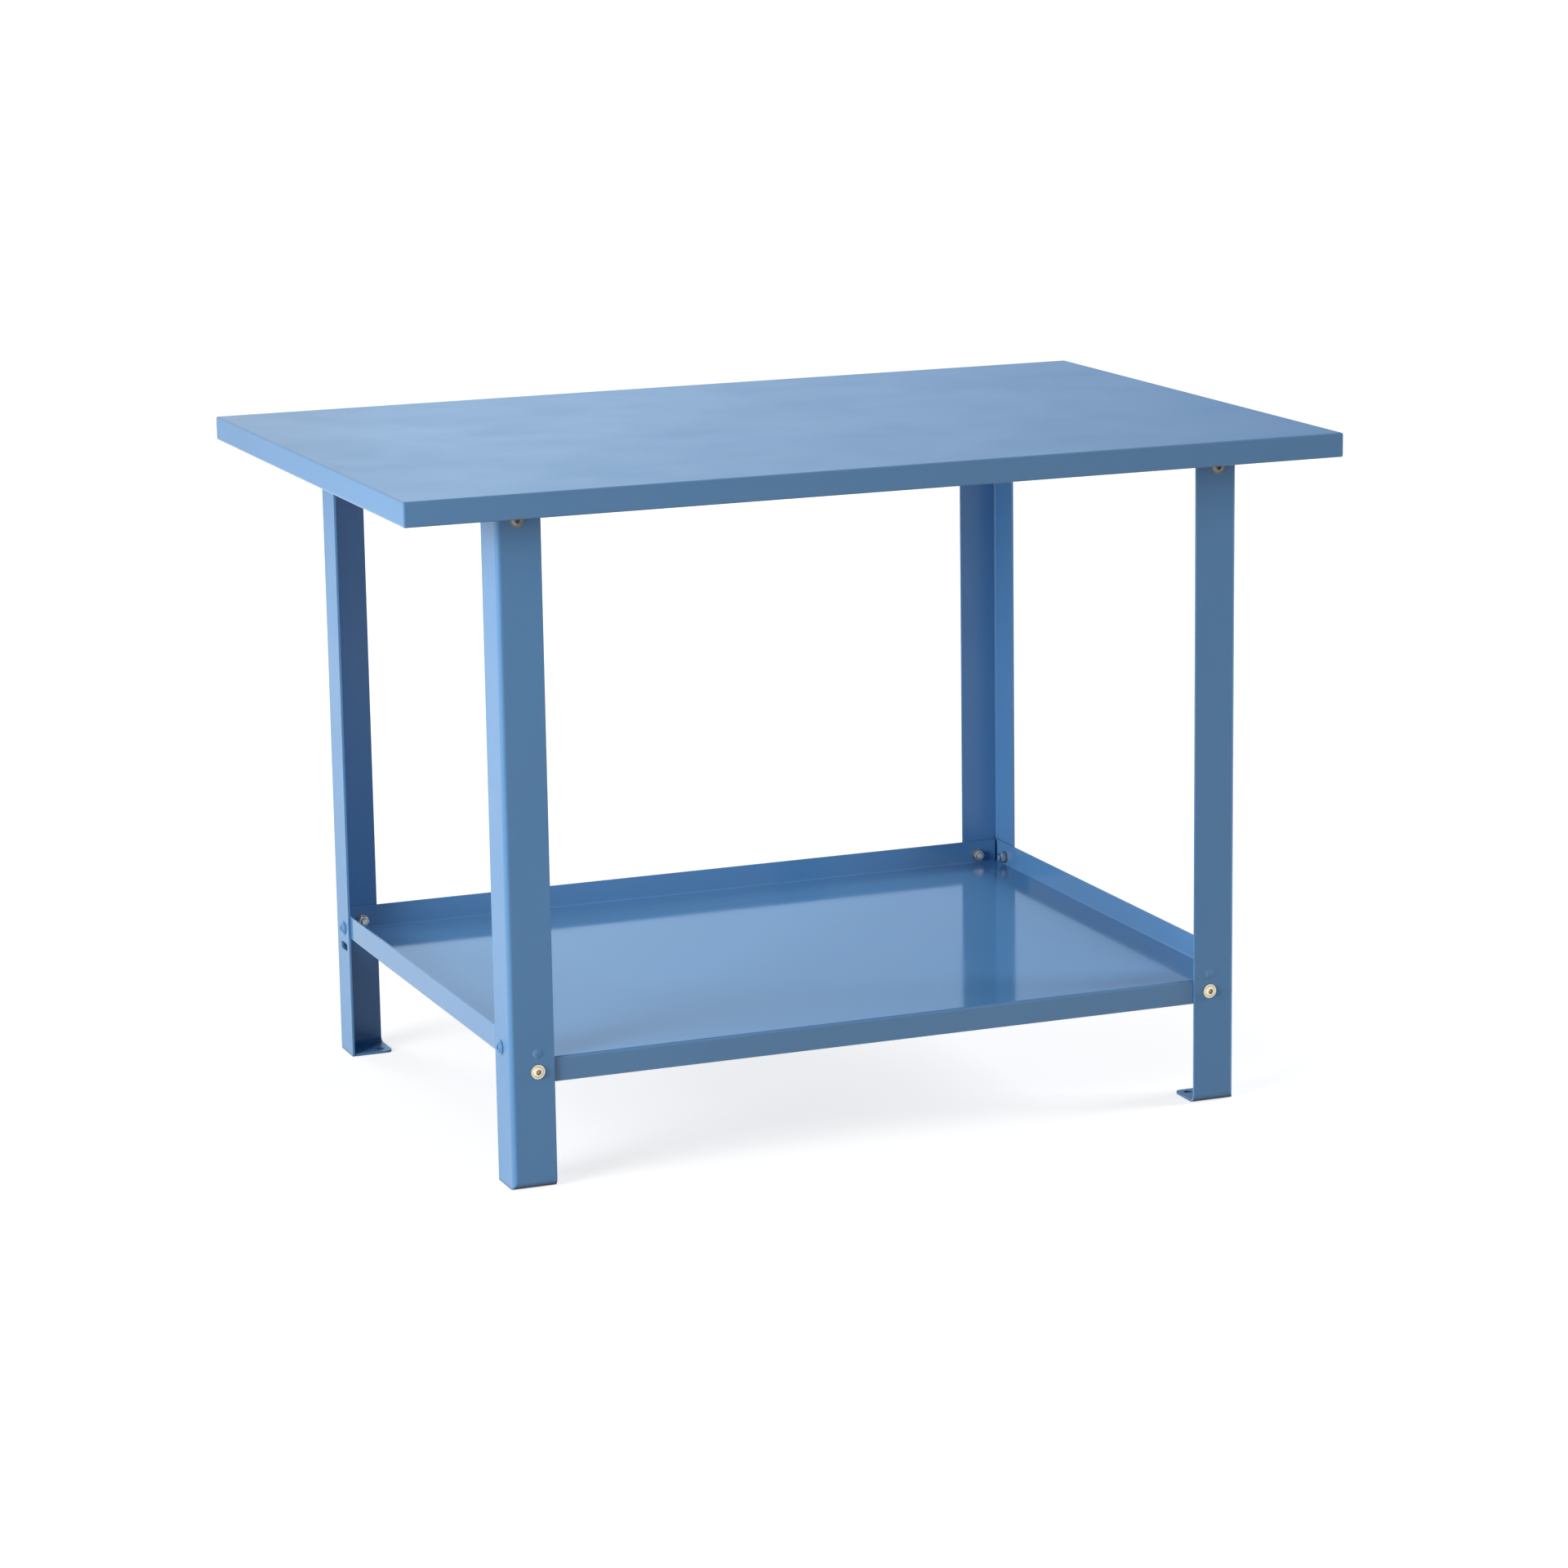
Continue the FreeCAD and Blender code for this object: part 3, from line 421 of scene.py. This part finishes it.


# %% [markdown]
# ## The blue gloss enamel
#
# One function sprays every panel, so the whole table is plainly one colour.
# What differs from part to part is how flat the steel under the paint is: a wide worktop
# ripples slowly, a narrow leg hardly at all. That ripple is one of the function's values.
# The legs also carry painted shade, a dull dark tint under the bend of the foot, in the holes
# and round the painted screw heads, where shade falls.
# A coat's dullness varies a little, but it stays all above or all below 0.274. The renderer's
# noise remover treats the two sides differently, and leaves faint marks where a coat crosses.

# %% The paint's colour
ENAMEL_BLUE = (0.100, 0.262, 0.500, 1.0)
ENAMEL_PALE = (0.175, 0.360, 0.600, 1.0)
TONE_DRIFTS_PER_METRE = 2.6
TONE_DRIFT = 0.05
GRAINS_PER_METRE = 900.0
PIGMENT_GRAIN = 0.03
THIN_FILM_SHARE = 0.6


def enamel_colour(tree, place, rounded):
    """The blue, drifting a little over a panel, and paler in a line along each sharp edge."""
    drift = soft_noise(tree, place, TONE_DRIFTS_PER_METRE, detail=3.0)
    grain = soft_noise(tree, place, GRAINS_PER_METRE, detail=1.0)
    tone = calculate(tree, "MULTIPLY", near_one(tree, drift, TONE_DRIFT),
                     near_one(tree, grain, PIGMENT_GRAIN))
    grey_tone = add_node(tree, "ShaderNodeCombineXYZ", {0: tone, 1: tone, 2: tone}).outputs[0]
    body_colour = mix_colours(tree, 1.0, ENAMEL_BLUE, grey_tone, "MULTIPLY")
    thin_film = calculate(tree, "MULTIPLY", edge_line(tree, rounded), THIN_FILM_SHARE)
    return mix_colours(tree, thin_film, body_colour, ENAMEL_PALE)


# %% The paint's skin
ORANGE_PEEL_PER_METRE = 420.0
ORANGE_PEEL_HEIGHT = 0.000020


def enamel_skin(tree, place, rounded, ripple_height, ripples_per_metre):
    """The slow ripple of the steel, with the fine orange peel of the paint on top."""
    ripple = soft_noise(tree, place, ripples_per_metre, detail=1.0)
    orange_peel = soft_noise(tree, place, ORANGE_PEEL_PER_METRE, detail=2.0)
    rippled = bumpy(tree, ripple, ripple_height, rounded)
    return bumpy(tree, orange_peel, ORANGE_PEEL_HEIGHT, rippled)


# %% Spray the paint
PAINTED_EDGE_RADIUS = 0.0009
HANDLING_PER_METRE = 9.0
ENAMEL_IOR = 1.5
# The next colour, reach, levels and dullness paint shade into the legs' corners, holes and the
# bend of the foot.
CORNER_SHADE_COLOUR = (0.016, 0.022, 0.040, 1.0)
CORNER_REACH = 0.012
CORNER_SHADE_STARTS, CORNER_SHADE_FULL = 0.75, 0.25
CORNER_SHADE_DULLNESS = 0.9


def blue_enamel(name, ripple_height, ripples_per_metre, dull_low, dull_high, corner_shade=0.0):
    """One coat of the enamel, with, if asked, a painted shade in its corners that hides up to that
    share of the colour.
    """
    paint = bpy.data.materials.new(name)
    tree = empty_tree(paint)
    place = table_place(tree)
    rounded = rounded_edges(tree, PAINTED_EDGE_RADIUS)
    colour = enamel_colour(tree, place, rounded)
    handled = soft_noise(tree, place, HANDLING_PER_METRE, detail=5.0, roughness=0.6)
    dullness = spread(tree, handled, dull_low, dull_high)
    # Painted shade: a dark, dull tint where surfaces close in.
    if corner_shade:
        painted_shade = painted_recess_shade(tree, CORNER_REACH, CORNER_SHADE_STARTS, CORNER_SHADE_FULL, corner_shade)
        colour = mix_colours(tree, painted_shade, colour, CORNER_SHADE_COLOUR)
        dullness = calculate(tree, "MAXIMUM", dullness,
                             calculate(tree, "MULTIPLY", painted_shade, CORNER_SHADE_DULLNESS))
    enamel = add_node(tree, "ShaderNodeBsdfPrincipled", {
        "Base Color": colour, "Roughness": dullness,
        "Normal": enamel_skin(tree, place, rounded, ripple_height, ripples_per_metre),
        "IOR": ENAMEL_IOR, "Metallic": 0.0,
    })
    add_node(tree, "ShaderNodeOutputMaterial", {"Surface": enamel.outputs[0]})
    return paint


# %% Four coats of it
worktop_enamel = blue_enamel("worktop_enamel", ripple_height=0.00025, ripples_per_metre=3.0,
                             dull_low=0.20, dull_high=0.27)
leg_enamel = blue_enamel("leg_enamel", ripple_height=0.00008, ripples_per_metre=6.0,
                         dull_low=0.28, dull_high=0.35, corner_shade=0.9)
shelf_enamel = blue_enamel("shelf_enamel", ripple_height=0.00012, ripples_per_metre=4.0,
                           dull_low=0.07, dull_high=0.11)
frame_enamel = blue_enamel("frame_enamel", ripple_height=0.00010, ripples_per_metre=6.0,
                           dull_low=0.28, dull_high=0.36)
print("four coats of one blue enamel mixed")

# %% [markdown]
# ## Zinc on the fasteners
#
# Screws are zinc plated and passivated yellow, which is a thin film whose tint drifts a little.
# Nuts, washers and studs are plated plain, which is a cool silver. The screws up under the
# worktop get a darker, greyer copy of the zinc, a painted shade for the shade under the
# worktop's edge. A film over metal is part metal and part paint-like, and one value says how
# much of each, so a screw in the shade goes dim as a real one does.
# A brown painted shade darkens the sockets and the places beside the washers and heads.

# %% Plate the steel
FILM_PATCHES_PER_METRE = 190.0
FILM_LOW, FILM_HIGH = 0.35, 0.65
SCRATCHES_PER_METRE = 1400.0
SCRATCH_DEPTH = 0.00001
ZINC_EDGE_RADIUS = 0.0003
# A brown painted shade for the sockets and the places beside washers and heads.
ZINC_SHADE_BROWN = (0.260, 0.175, 0.080, 1.0)
ZINC_SHADE_REACH = 0.006
ZINC_SHADE_STARTS, ZINC_SHADE_FULL = 0.95, 0.60


def zinc_plating(name, tint, second_tint, metal_share, recess_shade, dull_low, dull_high):
    """Zinc in two tints that drift into each other, with a brown painted shade in its recesses
    that hides up to the given share of the colour.
    """
    plating = bpy.data.materials.new(name)
    tree = empty_tree(plating)
    place = table_place(tree)
    film = stretch(tree, soft_noise(tree, place, FILM_PATCHES_PER_METRE, detail=3.0),
                   FILM_LOW, FILM_HIGH, 0.0, 1.0)
    bright = mix_colours(tree, film, tint, second_tint)
    # Painted shade: brown darkening where the zinc is hemmed in.
    painted_shade = painted_recess_shade(tree, ZINC_SHADE_REACH, ZINC_SHADE_STARTS, ZINC_SHADE_FULL, recess_shade)
    colour = mix_colours(tree, painted_shade, bright, ZINC_SHADE_BROWN)
    scratches = soft_noise(tree, place, SCRATCHES_PER_METRE, detail=4.0, roughness=0.7)
    rounded = rounded_edges(tree, ZINC_EDGE_RADIUS)
    metal = add_node(tree, "ShaderNodeBsdfPrincipled", {
        "Base Color": colour, "Roughness": spread(tree, scratches, dull_low, dull_high),
        "Normal": bumpy(tree, scratches, SCRATCH_DEPTH, rounded), "Metallic": metal_share,
    })
    add_node(tree, "ShaderNodeOutputMaterial", {"Surface": metal.outputs[0]})
    return plating


# %% Three platings
yellow_zinc = zinc_plating("yellow_zinc", (0.93, 0.88, 0.70, 1.0), (0.88, 0.80, 0.60, 1.0),
                           metal_share=0.80, recess_shade=0.90, dull_low=0.28, dull_high=0.42)
silver_zinc = zinc_plating("silver_zinc", (0.72, 0.74, 0.77, 1.0), (0.60, 0.63, 0.68, 1.0),
                           metal_share=0.90, recess_shade=0.75, dull_low=0.28, dull_high=0.40)
# The screws under the worktop get a darker copy of the zinc: painted shade for the worktop's
# shade.
shade_darkened_zinc = zinc_plating("shade_darkened_zinc", (0.40, 0.36, 0.30, 1.0), (0.33, 0.31, 0.28, 1.0),
                         metal_share=0.20, recess_shade=0.90, dull_low=0.50, dull_high=0.65)
print("yellow, silver and dull zinc mixed")

# %% [markdown]
# ## Dress every part
#
# A part's name says what it is, so a short list from name to finish dresses the whole table.
# The first line whose word is in the name counts, so the special cases come first.
# Each part has one finish, because each real part was painted or plated whole.

# %% Give each part its finish
FINISH_BY_WORD = [
    ("shelf_side_screws", leg_enamel),
    ("rail_end_screws", shade_darkened_zinc),
    ("rail_side_screws", shade_darkened_zinc),
    ("_screws", yellow_zinc),
    ("_washers", silver_zinc),
    ("_nuts", silver_zinc),
    ("_studs", silver_zinc),
    ("_stiffener", frame_enamel),
    ("cross_rail", frame_enamel),
    ("leg_", leg_enamel),
    ("worktop", worktop_enamel),
    ("shelf", shelf_enamel),
]


def finish_for(part_name):
    return next(finish for word, finish in FINISH_BY_WORD if word in part_name)


for part_name, part in table.items():
    finish = finish_for(part_name)
    for material_slot in part.material_slots:
        material_slot.material = finish
    print(f"{part_name:28s} {finish.name}")
